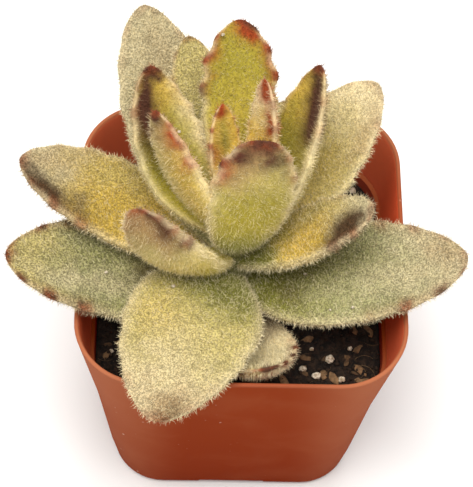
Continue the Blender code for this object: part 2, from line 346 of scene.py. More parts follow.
def cut(piece, operation, *shapes):
    """Joins each shape to a piece or takes it out of it, on all four sides and all at once."""
    helpers = []
    for shape, turn in [(shape, turn) for shape in shapes for turn in range(4)]:
        mesh = shape()
        block = add_object("cutter", mesh)
        mesh.transform(Matrix.Rotation(math.radians(90 * turn), 4, "Z"))
        modifier = piece.modifiers.new(operation, "BOOLEAN")
        modifier.operation, modifier.object, modifier.solver = operation, block, "EXACT"
        helpers.append(block)
    apply_modifiers(piece)
    for block in helpers:
        mesh = block.data
        bpy.data.objects.remove(block)
        bpy.data.meshes.remove(mesh)


pot = add_object("potted_square_pot", pot_shell())
CHANNEL_ROOF = CHANNEL_HEIGHT + FLOOR_THICK
cut(pot, "UNION", lambda: channel_block(FLOOR_THICK, CHANNEL_ROOF, 0.85 * FLOOR_THICK, -0.3 * MM))
cut(pot, "DIFFERENCE", lambda: channel_block(0.0, CHANNEL_HEIGHT, -2 * MM, 4 * MM), drain_block)
pot.data.shade_smooth()
pot.data.set_sharp_from_angle(angle=math.radians(32))
print("pot faces:", len(pot.data.polygons))

# %% [markdown]
# ## The potting mix
#
# Dark peat fills the pot to well under the rim. Its top is lumpy, so the loft's upper
# rings follow a noise pattern. Loose crumbs, bark, fibres and perlite come later.

# %% The soil body
FIT_GAP = 0.3 * MM
SOIL_LEVEL = 38.5 * MM
SOIL_SIDES = 180
SOIL_RINGS = 44
STEM_X = -1.5 * MM
STEM_Y = -2.0 * MM
STEM_RADIUS = 3.0 * MM
HOLE_BOTTOM = 16.0 * MM
CRUMB_HEIGHT = 0.9 * MM


def crumb(x, y):
    """How far the soil's top stands above its level: the CAD model's waves, with finer lumps."""
    x, y = x / MM, y / MM
    coarse = math.sin(0.55 * x + 1.3) * math.cos(0.48 * y + 0.4)
    middle = math.sin(1.27 * x + 0.91 * y) * math.cos(1.12 * y - 0.63 * x)
    fine = math.sin(2.3 * x + 0.7) * math.sin(2.1 * y + 1.9)
    lumps = 0.5 * noise.noise(Vector((x * 0.9, y * 0.9, 3.1)))
    grains = 0.35 * noise.noise(Vector((x * 2.1, y * 2.1, 7.7)))
    return CRUMB_HEIGHT * (0.45 * coarse + 0.35 * middle + 0.2 * fine + (lumps + grains))


def square_ring(width, corner, height, count):
    """Points at even angles round a square with round corners."""
    straight = width / 2 - corner
    ring = []
    for k in range(count):
        angle = math.tau * k / count
        c, t = math.cos(angle), math.sin(angle)
        reach = width / 2 / max(abs(c), abs(t))
        if min(abs(c), abs(t)) * reach > straight:
            middle = straight * (abs(c) + abs(t))
            reach = middle + math.sqrt(middle**2 - 2 * straight**2 + corner**2)
        ring.append(Vector((reach * c, reach * t, height)))
    return ring


def soil_mesh():
    rings = []
    for height in (FLOOR_THICK + FIT_GAP, BASE_EDGE_ROUND + FIT_GAP, WAIST_HEIGHT, SOIL_LEVEL - 1.5 * MM):
        width, corner = pot_inside(height, FIT_GAP if height < WAIST_HEIGHT else 0.05 * MM)
        if height == FLOOR_THICK + FIT_GAP:
            width, corner = width - BASE_EDGE_ROUND, corner - BASE_EDGE_ROUND / 2
        rings.append(square_ring(width, corner, height, SOIL_SIDES))
    hole = circle(STEM_X, STEM_Y, SOIL_LEVEL, STEM_RADIUS + 0.2 * FIT_GAP, SOIL_SIDES)
    edge = rings[-1]
    for k in range(SOIL_RINGS):
        share = k / (SOIL_RINGS - 1)
        ring = []
        for p, q in zip(edge, hole):
            at = Vector((p.x, p.y, SOIL_LEVEL)).lerp(q, share)
            at.z += crumb(at.x, at.y) if share > 0 else -0.4 * MM
            ring.append(at)
        rings.append(ring)
    rings.append([Vector((p.x, p.y, HOLE_BOTTOM)) for p in hole])
    return loft("soil", rings)


soil = add_object("potting_mix", soil_mesh())
cut(soil, "DIFFERENCE",
    lambda: channel_block(FLOOR_THICK + 2 * FIT_GAP, CHANNEL_ROOF + FIT_GAP, 0.0, 3 * MM))
soil.data.shade_smooth()
print("soil faces:", len(soil.data.polygons))

# %% [markdown]
# ## The stem
#
# A short upright stem carries the leaves. It is hardly seen, but where it is, it is
# greenish and slightly felted, with low rings where old leaves came off.

# %% The stem
STEM_FOOT = 16.5 * MM
STEM_TOP = 70.0 * MM
STEM_TIP_RADIUS = 1.2 * MM
STEM_TAPER_FROM = 52 * MM
STEM_SIDES = 40
STEM_STEPS = 90


def stem_radius(height):
    """Tapers towards the top, with a low ring for each leaf that came off."""
    share = min(1.0, max(0.0, (height - STEM_TAPER_FROM) / (STEM_TOP - STEM_TAPER_FROM)))
    scar = 0.12 * MM * math.sin(height / MM * 1.9) ** 3
    return between(STEM_RADIUS, STEM_TIP_RADIUS, share) + scar * (1 - share)


def stem_mesh():
    heights = [STEM_FOOT + (STEM_TOP - STEM_FOOT) * k / STEM_STEPS for k in range(STEM_STEPS + 1)]
    tip = Vector((STEM_X, STEM_Y, STEM_TOP + 0.3 * MM))
    return loft("stem", [circle(STEM_X, STEM_Y, z, stem_radius(z), STEM_SIDES) for z in heights], None, tip)


stem = add_object("short_stem", stem_mesh())
stem.data.shade_smooth()

# %% [markdown]
# ## The leaves
#
# Every leaf follows one rule: a middle line that bends once, a width that swells and
# closes to a blunt point, a plump section, and teeth along the outer margin. Twenty sets
# of numbers, the same as in the CAD model, make the twenty leaves.

# %% One leaf's numbers


@dataclass
class Leaf:
    """One leaf, in millimetres and degrees. Azimuth 0 is +X and -90 is the camera's side."""

    height: float
    azimuth: float
    rise: float
    tip: tuple
    width: float
    thick: float = 3.2
    reach: float = 0.45
    cup: float = 0.08
    roll: float = 0.0
    widest: float = 0.58
    point: float = 0.60
    teeth: float = 0.10
    base: float = 4.0


LEAVES = {
    "leaf_01_front_low": Leaf(42.2, -76, 2, (4.2, -25.8, 55.5), 14.0, 3.0, reach=0.74, cup=0.14, teeth=0.06),
    "leaf_02_front": Leaf(
        46.6, -119, 48, (-14.4, -36.0, 55.6), 23.0, 3.6, reach=0.5, cup=0.0, widest=0.52, teeth=0.04
    ),
    "leaf_03_left_low": Leaf(
        43.2, 203, 35, (-40.3, -6.8, 59.5), 20.0, 3.4, reach=0.5, cup=0.06, roll=-8, widest=0.5, teeth=0.04
    ),
    "leaf_04_right_low": Leaf(
        43.5, -27, 35, (38.5, -5.6, 59.5), 20.5, 3.4, reach=0.5, cup=0.06, roll=8, widest=0.5, teeth=0.04
    ),
    "leaf_05_back_low": Leaf(45.4, 104, 33, (-10.0, 31.0, 59.0), 14.0, 3.4),
    "leaf_06_back_right_low": Leaf(42.2, 72, 22, (8.5, 28.0, 56.5), 13.0, 3.2),
    "leaf_07_left_back": Leaf(49.6, 164, 27, (-38.3, 7.8, 66.5), 16.0, 3.4, cup=0.05, teeth=0.06),
    "leaf_08_back_left": Leaf(52.1, 133, 36, (-17.8, 31.5, 79.0), 18.0, 3.2, teeth=0.06, base=3.4),
    "leaf_09_back_right": Leaf(48.2, 42, 38, (22.7, 20.5, 73.0), 16.0, 3.4, teeth=0.06),
    "leaf_10_right": Leaf(51.6, -17, 40, (21.5, -2.4, 69.5), 12.5, 3.4, cup=0.06, widest=0.62, point=0.52),
    "leaf_11_front_left": Leaf(
        53.8, -136, 16, (-18.0, -9.0, 78.0), 11.0, 3.4, roll=42, cup=0.10, point=0.48, reach=0.5, base=2.8
    ),
    "leaf_12_back": Leaf(54.8, 111, 41, (-10.1, 26.2, 77.5), 12.0, 2.6, base=2.8),
    "leaf_13_back_tall": Leaf(62.0, 88, 48, (-1.7, 22.0, 88.0), 12.5, 3.0, widest=0.7, teeth=0.13, base=2.8),
    "leaf_14_left_tall": Leaf(59.8, 159, 32, (-16.4, 16.5, 82.0), 14.0, 3.0, reach=0.52, cup=0.12, roll=-14),
    "leaf_15_right_tall": Leaf(56.6, 17, 48, (11.8, 16.0, 84.0), 13.0, 3.0, cup=0.14),
    "leaf_16_centre_front": Leaf(
        56.5, -82, 50, (2.4, 0.4, 84.5), 14.2, 3.0, cup=0.06, widest=0.72, point=0.42, teeth=0.10
    ),
    "leaf_17_centre_left": Leaf(62.0, -152, 46, (-15.3, 5.5, 85.0), 9.5, 2.8, roll=25, cup=0.08, base=2.8),
    "leaf_18_centre_right": Leaf(64.9, 30, 55, (2.4, 10.0, 88.0), 7.5, 2.4, cup=0.10, point=0.5, base=3.0),
    "leaf_19_centre_back": Leaf(67.8, 134, 57, (-4.3, 7.7, 84.0), 6.5, 2.2, cup=0.12, base=2.8),
    "leaf_20_heart": Leaf(69.0, -10, 62, (1.4, 1.6, 79.0), 4.2, 1.8, cup=0.10, base=2.2),
}
TOOTHED_FROM = 0.55
TOOTH_STATIONS = 8
TOOTH_SHARE = 0.6
print("leaves:", len(LEAVES))

# %% The leaf's rule


def tooth_wave(s, side):
    """Swings between -1 and 1 once for each tooth of a leaf's end; the two margins are out of step."""
    if s <= TOOTHED_FROM:
        return 0.0
    u = (s - TOOTHED_FROM) / (1 - TOOTHED_FROM)
    step = TOOTH_STATIONS * (1 - (1 - u) ** (1 / 1.35))
    return side * math.cos(math.pi * step) * min(1.0, 6 * u) * (1 - u) ** 0.35


def half_width(leaf, s, side):
    """A leaf's half width at s along it, in millimetres: narrow base, blunt point, toothed end."""
    base = leaf.base / leaf.width
    if s < leaf.widest:
        shape = base + (1 - base) * math.sin(s / leaf.widest * math.pi / 2) ** 1.2
    else:
        u = (s - leaf.widest) / (1 - leaf.widest)
        shape = (1 - u**2.1) ** leaf.point
    return leaf.width / 2 * shape * (1 + TOOTH_SHARE * leaf.teeth * tooth_wave(s, side))


def leaf_frame(leaf, s):
    """A leaf's middle at s, and the directions along it, across it and out of its upper face."""
    root = Vector((STEM_X / MM, STEM_Y / MM, leaf.height))
    tip = Vector(leaf.tip)
    turn, rise = math.radians(leaf.azimuth), math.radians(leaf.rise)
    out = Vector((math.cos(turn) * math.cos(rise), math.sin(turn) * math.cos(rise), math.sin(rise)))
    bend = root + out * (tip - root).length * leaf.reach
    place = root.lerp(bend, s).lerp(bend.lerp(tip, s), s)
    along = (bend - root).lerp(tip - bend, s).normalized()
    across = Vector((-math.sin(turn), math.cos(turn), 0))
    side = (across - along * across.dot(along)).normalized()
    spin = Matrix.Rotation(math.radians(leaf.roll) * min(1.0, 2.5 * s), 3, along)
    side = spin @ side
    return place, along, side, along.cross(side)


LEAF_RINGS = 84
LEAF_SIDES = 36


def leaf_stations():
    """Places along a leaf, closer together towards the tip."""
    return [1 - (1 - k / LEAF_RINGS) ** 1.5 for k in range(LEAF_RINGS)]


def leaf_mesh(name, leaf):
    rings, notes = [], []
    for s in leaf_stations():
        place, along, side, up = leaf_frame(leaf, s)
        plump = (0.78 + 0.22 * math.sin(math.pi * s)) * math.sqrt(max(0.0, 1 - s**4))
        ring = []
        for j in range(LEAF_SIDES):
            angle = math.tau * j / LEAF_SIDES
            x = math.cos(angle)
            sign = 1 if x > 0 else -1
            half = half_width(leaf, s, sign)
            belly = 0.40 if math.sin(angle) > 0 else 0.60
            rise = leaf.thick * plump * belly * math.copysign(abs(math.sin(angle)) ** 0.8, math.sin(angle))
            rise += leaf.cup * leaf.width * (half * x / (leaf.width / 2)) ** 2
            ring.append((place + side * x * half + up * rise) * MM)
            notes.append((s, x, tooth_wave(s, sign), along))
        rings.append(ring)
    notes.append((1.0, 0.0, 0.0, leaf_frame(leaf, 1.0)[1]))
    mesh = loft(name, rings, None, Vector(leaf.tip) * MM)
    mesh.shade_smooth()
    return mesh, notes


skins = {}
for leaf_name, leaf in LEAVES.items():
    mesh, notes = leaf_mesh(leaf_name, leaf)
    skins[leaf_name] = (add_object(leaf_name.replace("leaf_", "felted_leaf_"), mesh), notes)
print("leaf skins:", len(skins))

# %% [markdown]
# ## Colours along a leaf
#
# No two leaves have the same colour. Young ones are olive, old ones are sage or straw, and
# all of them turn brown where the light burns them: at the tip and on the teeth. We give
# each leaf three colours from a small palette, root to tip, and then a few soft patches,
# and store the result on the mesh, so that both the skin and its hairs can read it.

# %% The palette


def paint(red, green, blue):
    """A screen colour as the linear numbers that a shader needs."""
    shares = (red / 255, green / 255, blue / 255)
    return Vector([((c + 0.055) / 1.055) ** 2.4 if c > 0.04045 else c / 12.92 for c in shares])


PALETTE = {
    "sage": paint(170, 168, 118),
    "moss": paint(124, 124, 52),
    "olive": paint(172, 158, 60),
    "gold": paint(212, 180, 80),
    "straw": paint(210, 194, 126),
    "silver": paint(220, 206, 164),
    "cream": paint(244, 226, 180),
    "umber": paint(88, 62, 42),
    "plum": paint(90, 54, 42),
    "rust": paint(166, 72, 36),
    "tan": paint(172, 136, 92),
}


@dataclass
class Felt:
    """The colours of one leaf. A patch is a colour, a place along and across, two radii and a strength."""

    root: str
    middle: str
    tip: str
    frost: float = 0.5
    # Painted shade: how far the skin under the hairs, and some hairs, are darkened.
    dusk: float = 0.4
    cap: float = 0.5
    minus_edge: float = 0.5
    plus_edge: float = 0.5
    edge_from: float = 0.62
    patches: tuple = ()


# Root, middle and tip colour; frost, hair shadow (painted shade under and among the hairs), cap, minus edge,
# plus edge and where the edge starts; patches.
FELTS = {
    # Painted shade: leaf_01's umber root is the shadow cast by leaf_02 above it.
    "leaf_01_front_low": Felt("umber", "silver", "silver", 0.7, 0.3, 0.9, 0.9, 1.0, 0.5, (
        ("straw", 0.8, -0.8, 0.3, 0.5, 0.7),
    )),
    "leaf_02_front": Felt("moss", "straw", "cream", 0.7, 0.5, 0.5, 0.3, 0.35, 0.8, (
        ("gold", 0.58, -0.5, 0.12, 0.4, 0.4), ("cream", 0.75, -0.1, 0.16, 0.4, 0.5),
        # Painted shade: the moss patch near the root on the plus side is the shadow of the leaves above.
        ("moss", 0.36, 0.3, 0.14, 0.7, 0.9), ("tan", 0.97, 0.4, 0.10, 0.9, 0.8),
        ("umber", 0.97, 0.9, 0.05, 0.5, 0.6),
    )),
    "leaf_03_left_low": Felt("moss", "sage", "straw", 0.55, 0.6, 0.9, 0.9, 0.9, 0.62, (
        ("moss", 0.62, -0.2, 0.14, 0.3, 0.5), ("silver", 0.66, 0.4, 0.26, 0.22, 0.8),
        ("umber", 0.42, 0.05, 0.10, 0.4, 0.6), ("moss", 0.5, 0.9, 0.2, 0.25, 0.6),
    )),
    "leaf_04_right_low": Felt("moss", "sage", "silver", 0.75, 0.55, 0.4, 0.8, 0.6, 0.62, (
        ("moss", 0.52, 0.15, 0.2, 0.25, 0.5), ("silver", 0.72, -0.2, 0.18, 0.3, 0.7),
        ("silver", 0.85, 0.6, 0.14, 0.4, 0.8), ("tan", 0.93, 0.3, 0.07, 0.7, 0.5),
        ("umber", 0.33, -0.4, 0.1, 0.4, 0.4),
    )),
    "leaf_05_back_low": Felt("moss", "sage", "straw", 0.6, 0.5, 0.5, 0.6, 0.6),
    "leaf_06_back_right_low": Felt("moss", "sage", "straw", 0.6, 0.5, 0.5, 0.6, 0.6),
    "leaf_07_left_back": Felt("gold", "gold", "silver", 0.55, 0.5, 0.6, 0.2, 0.6, 0.6, (
        ("straw", 0.57, -0.6, 0.2, 0.5, 0.6), ("gold", 0.55, 0.5, 0.16, 0.4, 0.8),
        ("umber", 0.86, 0.7, 0.17, 0.36, 0.85), ("umber", 0.96, 0.2, 0.05, 0.6, 0.5),
        ("tan", 0.90, -0.4, 0.12, 0.5, 0.4),
    )),
    "leaf_08_back_left": Felt("sage", "silver", "silver", 0.65, 0.5, 0.3, 0.3, 0.3, 0.8, (
        ("tan", 0.75, -0.2, 0.2, 0.5, 0.35), ("sage", 0.62, 0.2, 0.12, 0.8, 0.6),
    )),
    "leaf_09_back_right": Felt("gold", "straw", "cream", 0.75, 0.4, 0.3, 0.35, 0.3, 0.75, (
        ("gold", 0.60, -0.1, 0.15, 0.6, 0.6), ("tan", 0.8, -0.7, 0.15, 0.3, 0.5),
    )),
    "leaf_10_right": Felt("moss", "gold", "silver", 0.55, 0.5, 0.5, 0.6, 0.2, 0.7, (
        ("umber", 0.87, -0.4, 0.11, 0.55, 1.0), ("umber", 0.80, -0.85, 0.10, 0.3, 0.9),
        ("straw", 0.65, 0.6, 0.2, 0.4, 0.7), ("moss", 0.3, -0.6, 0.1, 0.4, 0.5),
    )),
    "leaf_11_front_left": Felt("olive", "straw", "tan", 0.42, 0.15, 0.7, 0.3, 0.5, 0.6, (
        ("tan", 0.9, 0.5, 0.2, 0.55, 0.9), ("umber", 0.93, 0.8, 0.10, 0.35, 0.6),
        ("plum", 0.96, 0.85, 0.045, 0.35, 1.0), ("plum", 0.86, 0.98, 0.045, 0.35, 1.0),
        ("plum", 0.71, 0.98, 0.04, 0.3, 1.0),
    )),
    "leaf_12_back": Felt("olive", "straw", "straw", 0.6, 0.5, 0.5, 0.5, 0.5, 0.7),
    "leaf_13_back_tall": Felt("olive", "olive", "olive", 0.3, 0.2, 0.95, 1.0, 0.9, 0.62, (
        ("gold", 0.55, 0.0, 0.2, 0.9, 0.3), ("rust", 0.97, -0.4, 0.05, 0.8, 0.9),
        ("rust", 0.85, -1.0, 0.07, 0.3, 0.9), ("rust", 0.86, 1.0, 0.07, 0.25, 0.8),
    )),
    "leaf_14_left_tall": Felt("olive", "olive", "gold", 0.2, 0.2, 1.0, 0.25, 0.5, 0.72, (
        ("moss", 0.6, 0.4, 0.2, 0.5, 0.5), ("gold", 0.86, -0.2, 0.1, 0.5, 0.5),
        ("cream", 0.6, -0.9, 0.3, 0.3, 0.95), ("plum", 0.84, 0.55, 0.2, 0.5, 1.0),
        ("plum", 0.97, 0.0, 0.04, 1.0, 0.8),
    )),
    "leaf_15_right_tall": Felt("moss", "olive", "gold", 0.12, 0.2, 1.0, 0.4, 0.4, 0.72, (
        ("plum", 0.86, -0.5, 0.2, 0.55, 1.0), ("umber", 0.96, 0.1, 0.05, 0.8, 0.8),
        ("gold", 0.88, 0.6, 0.08, 0.4, 0.6), ("cream", 0.6, -0.98, 0.3, 0.2, 0.6),
    )),
    "leaf_16_centre_front": Felt("moss", "olive", "straw", 0.42, 0.15, 0.9, 0.9, 0.6, 0.75, (
        ("straw", 0.7, 0.9, 0.4, 0.3, 0.5), ("straw", 0.7, -0.9, 0.4, 0.3, 0.5),
        ("plum", 0.965, 0.0, 0.06, 0.9, 1.0), ("tan", 0.9, -0.4, 0.1, 0.6, 0.7),
        ("plum", 0.92, -0.75, 0.05, 0.4, 1.0), ("rust", 0.83, -0.98, 0.04, 0.3, 0.9),
        ("umber", 0.90, 0.6, 0.05, 0.4, 0.6),
    )),
    "leaf_17_centre_left": Felt("olive", "straw", "straw", 0.42, 0.15, 1.0, 0.5, 0.8, 0.7, (
        ("gold", 0.65, 0.4, 0.3, 0.7, 0.9), ("tan", 0.9, 0.0, 0.12, 0.9, 0.6),
        ("rust", 0.87, 0.9, 0.06, 0.5, 1.0), ("rust", 0.72, 0.95, 0.035, 0.35, 0.9),
        ("plum", 0.97, -0.1, 0.05, 1.0, 1.0),
    )),
    "leaf_18_centre_right": Felt("gold", "gold", "cream", 0.4, 0.1, 0.6, 0.5, 0.3, 0.6, (
        ("rust", 0.96, -0.3, 0.08, 0.9, 1.0), ("rust", 0.75, -0.7, 0.09, 0.4, 0.9),
    )),
    "leaf_19_centre_back": Felt("gold", "gold", "gold", 0.15, 0.1, 1.0, 0.8, 0.8, 0.6, (
        ("moss", 0.70, 0.0, 0.18, 0.3, 0.7), ("rust", 0.96, 0.3, 0.07, 0.9, 0.9),
        ("rust", 0.6, 0.8, 0.08, 0.5, 0.6),
    )),
    "leaf_20_heart": Felt("olive", "straw", "gold", 0.3, 0.1, 0.5, 0.5, 0.5),
}
print("palette:", len(PALETTE), "felts:", len(FELTS))

# %% Paint the leaves
ROOT_GLOW = 0.6  # light comes through the crowded leaves, so their roots are drawn paler than they are
BURNT = ("plum", "umber", "rust")
FELT_NOTES = {"flesh": "FLOAT_COLOR", "frost": "FLOAT", "dusk": "FLOAT", "growth": "FLOAT_VECTOR"}


def smooth(low, high, value):
    share = min(1.0, max(0.0, (value - low) / (high - low)))
    return share * share * (3 - 2 * share)


def paint_leaf(leaf_name, piece, notes):
    """Stores the colour, the frost and the direction of growth on every point of a leaf."""
    felt, mesh = FELTS[leaf_name], piece.data
    for name, kind in FELT_NOTES.items():
        mesh.attributes.new(name, kind, "POINT")
    flesh, frost, dusk, growth = (mesh.attributes[name] for name in FELT_NOTES)
    root, middle, tip = PALETTE[felt.root], PALETTE[felt.middle], PALETTE[felt.tip]
    for i, (s, x, tooth, along) in enumerate(notes):
        spot = mesh.vertices[i].co * 1000
        wave = noise.noise(spot * 0.35) + 0.5 * noise.noise(spot * 0.9)
        stray = 0.06 * wave
        colour = root.lerp(middle, smooth(0.25, 0.6, s + stray)).lerp(tip, smooth(0.65, 0.95, s + stray))
        colour *= 1 + ROOT_GLOW * (1 - smooth(0.3, 0.75, s))
        white = felt.frost
        for name, s0, x0, length, breadth, strength in felt.patches:
            near = math.exp(-((s - s0 + stray) / length) ** 2 - ((x - x0 + 3 * stray) / breadth) ** 2)
            share = min(1.0, strength * near * (1.25 if name in BURNT else 1.0))
            colour = colour.lerp(PALETTE[name], share)
            if name in BURNT:
                white *= 1 - 0.92 * share
        # Painted rim light: the margins are drawn cream and their hairs whiter, a bright fringe of light
        # along the outline.
        margin = smooth(0.78, 1.0, abs(x))
        colour = colour.lerp(PALETTE["cream"], 0.6 * margin)
        white += 0.3 * margin
        side = felt.plus_edge if x > 0 else felt.minus_edge
        edge = smooth(0.66, 0.94, abs(x)) * smooth(felt.edge_from - 0.05, felt.edge_from + 0.12, s)
        brown = side * edge * (0.25 + 0.75 * smooth(-0.2, 0.7, tooth + 0.5 * wave))
        brown = max(brown, felt.cap * smooth(0.955, 0.995, s + 0.5 * stray))
        burnt = PALETTE["rust"].lerp(PALETTE["plum"], smooth(-0.3, 0.6, wave) * 0.6 + 0.4 * brown)
        colour = colour.lerp(burnt, min(1.0, 1.1 * brown))
        white *= 1 - 0.85 * brown
        flesh.data[i].color = (*(min(0.95, share) for share in colour), 1)
        frost.data[i].value = max(0.0, white * (1 + 0.35 * wave))
        # Painted shade: how far this leaf's skin and its darker hairs are drawn towards shadow.
        dusk.data[i].value = felt.dusk
        growth.data[i].vector = along


for leaf_name, (piece, notes) in skins.items():
    paint_leaf(leaf_name, piece, notes)
print("painted", len(skins), "leaves")

# %% [markdown]
# ## A small kit for node trees
#
# Shader groups, materials and Geometry Nodes trees are all made of nodes, sockets and
# links. One helper adds a node, sets what it is told to, and links or fills its inputs.

# %% Node helpers


def open_socket(node, label):
    """The input with that name which is in use; some nodes have several with one name."""
    for socket in node.inputs:
        if socket.name == label and socket.enabled:
            return socket
    return node.inputs[label]


def add_node(tree, kind, **values):
    """Adds a node. Settings are in lower case; inputs go by name, _ for a space, or as in_0 by number."""
    node = tree.nodes.new(kind)
    inputs = {key: value for key, value in values.items() if key[0].isupper() or key.startswith("in_")}
    for key, value in values.items():
        if key not in inputs:
            setattr(node, key, value)
    for key, value in inputs.items():
        numbered = key.startswith("in_")
        socket = node.inputs[int(key[3:])] if numbered else open_socket(node, key.replace("_", " "))
        if isinstance(value, bpy.types.NodeSocket):
            tree.links.new(value, socket)
        else:
            socket.default_value = value
    return node


def maths(tree, operation, first, second=0.0, clamp=False):
    return add_node(tree, "ShaderNodeMath", operation=operation, use_clamp=clamp, in_0=first,
                    in_1=second).outputs[0]


def blend_colour(tree, share, first, second, kind="MIX"):
    node = add_node(tree, "ShaderNodeMix", data_type="RGBA", blend_type=kind, clamp_factor=True)
    for index, value in ((0, share), (6, first), (7, second)):
        if isinstance(value, bpy.types.NodeSocket):
            tree.links.new(value, node.inputs[index])
        else:
            node.inputs[index].default_value = value if index == 0 else (*value[:3], 1)
    return node.outputs[2]


def vectors(tree, operation, first, second=(0, 0, 0), by=1.0):
    """A vector sum or product, or with SCALE the first vector times a number; returns the node's outputs."""
    last = {"Scale": by} if operation == "SCALE" else {"in_1": second}
    return add_node(tree, "ShaderNodeVectorMath", operation=operation, in_0=first, **last).outputs


def ramp(tree, value, low, high, to_low=0.0, to_high=1.0):
    """A smooth step between two values."""
    return add_node(tree, "ShaderNodeMapRange", interpolation_type="SMOOTHSTEP", Value=value, From_Min=low,
                    From_Max=high, To_Min=to_low, To_Max=to_high).outputs[0]


def random_value(tree, seed, low, high, kind="FLOAT"):
    node = add_node(tree, "FunctionNodeRandomValue", data_type=kind, Min=low, Max=high, Seed=seed)
    return node.outputs[0 if kind == "FLOAT_VECTOR" else 1]


def new_group(name, kind, inputs, outputs):
    """An empty node group with named inputs and outputs; returns it with its two end nodes."""
    tree = bpy.data.node_groups.new(name, kind)
    for label, socket_kind, value in inputs:
        socket = tree.interface.new_socket(label, in_out="INPUT", socket_type="NodeSocket" + socket_kind)
        if value is not None:
            socket.default_value = value
    for label, socket_kind in outputs:
        tree.interface.new_socket(label, in_out="OUTPUT", socket_type="NodeSocket" + socket_kind)
    return tree, tree.nodes.new("NodeGroupInput"), tree.nodes.new("NodeGroupOutput")


def end_group(tree, end, *results):
    """Links the results to a group's outputs, in their order, and returns the group."""
    for result, socket in zip(results, end.inputs):
        tree.links.new(result, socket)
    return tree


def use_group(tree, group, **inputs):
    return add_node(tree, "ShaderNodeGroup", node_tree=group, **inputs)


def new_material(name, **constants):
    """A material with a Principled shader whose constants are set on its own sockets."""
    made = bpy.data.materials.new(name)
    made.use_nodes = True
    shader = made.node_tree.nodes["Principled BSDF"]
    for label, value in constants.items():
        shader.inputs[label.replace("_", " ")].default_value = value
    return made, made.node_tree, shader


def own_place(tree):
    """Where a point is on its own object."""
    return add_node(tree, "ShaderNodeTexCoord").outputs["Object"]


def grain(tree, scale, detail=2.0, rough=0.5):
    """Noise on the object's own coordinates; scale is waves per metre."""
    return add_node(tree, "ShaderNodeTexNoise", Vector=own_place(tree), Scale=scale, Detail=detail,
                    Roughness=rough).outputs[0]


def dress(tree, shader, colour, height, strength, depth):
    """Gives a shader its colour, and a bump of that strength and depth from a height."""
    tree.links.new(colour, shader.inputs["Base Color"])
    bump = add_node(tree, "ShaderNodeBump", Strength=strength, Distance=depth, Height=height)
    tree.links.new(bump.outputs[0], shader.inputs["Normal"])


# %% [markdown]
# ## Felt
#
# What looks like velvet is a coat of hairs about as long as the leaf's edge is thick. Two
# materials share one group: the skin under the hairs is darker and greener, with painted
# shade from the hair coat mixed in, and a hair starts in the skin's colour and ends nearly
# white; some hairs are darkened with painted shade. The same mottling runs through both.

# %% The felt's shader group and materials
FROST_COLOUR = paint(250, 236, 196)
SHADOW_COLOUR = (0.018, 0.014, 0.006)


def felt_group():
    tree, start, end = new_group(
        "felt_colour", "ShaderNodeTree",
        [("Flesh", "Color", (0.4, 0.4, 0.2, 1)), ("Frost", "Float", 0.5),
         ("Dusk", "Float", 0.4), ("Height", "Float", 0.0),
         ("Shade", "Float", 0.5)],
        [("Skin", "Color"), ("Hair", "Color"), ("Fine", "Float")],
    )
    flesh, frost, dusk, height, shade = start.outputs[:5]
    patchy = ramp(tree, grain(tree, 900, 2.0), 0.3, 0.7, 0.90, 1.10)
    fine = grain(tree, 3400, 1.0)
    grey = add_node(tree, "ShaderNodeCombineColor", Red=patchy, Green=patchy, Blue=patchy).outputs[0]
    mottled = blend_colour(tree, 1.0, flesh, grey, "MULTIPLY")
    # Painted shade: the skin is drawn darker towards the shadow colour, as if shaded by the hairs.
    depth = maths(tree, "MULTIPLY", dusk, ramp(tree, fine, 0.38, 0.6, 0.4, 1.15))
    skin = blend_colour(tree, depth, mottled, SHADOW_COLOUR)
    reach = maths(tree, "MULTIPLY", frost, ramp(tree, height, 0.0, 1.0, 0.35, 1.45))
    reach = maths(tree, "MULTIPLY", reach, ramp(tree, shade, 0.1, 0.9, 0.15, 1.9), True)
    # Painted shade: some hairs, picked at random, are drawn dark, like the shadows between hairs.
    darker = maths(tree, "MULTIPLY", dusk, ramp(tree, shade, 0.05, 0.7, 1.0, 0.0))
    hair = blend_colour(tree, darker, mottled, SHADOW_COLOUR)
    hair = blend_colour(tree, reach, hair, FROST_COLOUR)
    return end_group(tree, end, skin, hair, fine)


def stored(tree, name, kind="Fac"):
    return add_node(tree, "ShaderNodeAttribute", attribute_name=name).outputs[kind]


def felt_mix(tree, group, **more):
    """The group's outputs for the colours that are stored on a leaf."""
    return use_group(tree, group, Flesh=stored(tree, "flesh", "Color"), Frost=stored(tree, "frost"),
                     Dusk=stored(tree, "dusk"), **more).outputs


def felt_materials():
    group = felt_group()
    skin, tree, shader = new_material("leaf_skin", Roughness=0.8, Sheen_Weight=0.15, Sheen_Roughness=0.5,
                                      Sheen_Tint=(1.0, 0.85, 0.5, 1), Specular_IOR_Level=0.05)
    mix = felt_mix(tree, group)
    dress(tree, shader, mix["Skin"], mix["Fine"], 0.5, 0.2 * MM)
    hair, tree, shader = new_material("leaf_hair", Roughness=0.6, Specular_IOR_Level=0.1)
    mix = felt_mix(tree, group, Height=stored(tree, "hair_height"), Shade=stored(tree, "shade"))
    tree.links.new(mix["Hair"], shader.inputs["Base Color"])
    return skin, hair


leaf_skin, leaf_hair = felt_materials()
print("felt:", leaf_skin.name, leaf_hair.name)

# %% [markdown]
# ## Growing the hairs
#
# Thousands of hairs can't be placed by hand. A Geometry Nodes tree scatters points over
# the skin, stands a thin closed spike on each, and leans it out of the skin, towards the
# tip, and a little at random. Real hair curves would be dropped by the export, so the
# spikes are made real and become part of the leaf's mesh.

# %% The tree that grows felt


def spread_points(tree, given, density):
    return add_node(tree, "GeometryNodeDistributePointsOnFaces", distribute_method="RANDOM",
                    Mesh=given["Geometry"], Density=given[density], Seed=given["Seed"]).outputs


